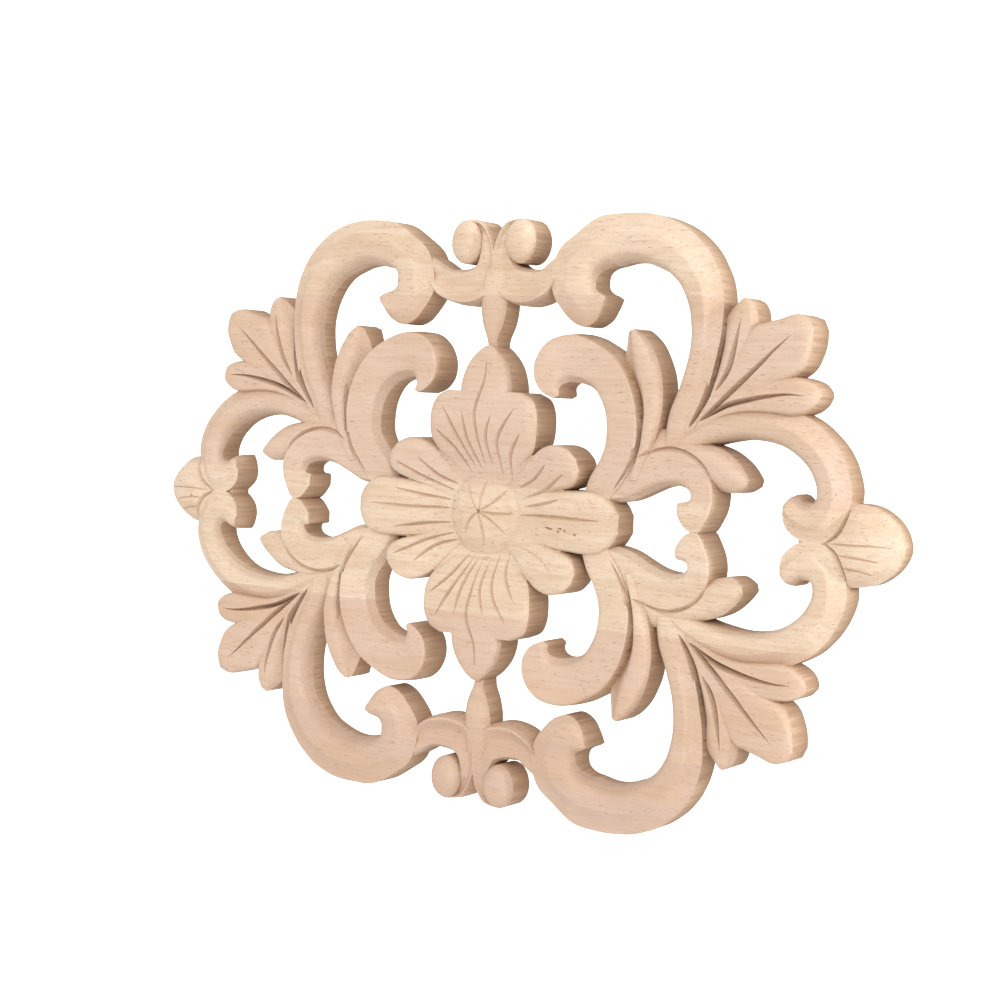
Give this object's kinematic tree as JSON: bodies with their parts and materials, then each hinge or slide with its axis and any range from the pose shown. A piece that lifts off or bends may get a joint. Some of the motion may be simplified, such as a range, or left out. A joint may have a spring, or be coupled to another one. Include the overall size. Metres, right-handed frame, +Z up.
{
  "type": "carved wood onlay",
  "caption": "Flat-backed openwork wood onlay: a petalled flower set in mirrored scrolls, curls and veined leaves, with a finial at each side.",
  "frame": {"origin": "middle of the flat back face, behind the flower", "axes": "+Y out of the flat back into the surface it is fixed to, so the carving faces -Y; +X along its length; +Z up"},
  "size_m": [0.3, 0.0136, 0.201],
  "materials": {
    "rubberwood": "unfinished, lightly sanded"
  },
  "bodies": {
    "root": {"carved_onlay": "rubberwood"}
  },
  "joints": []
}
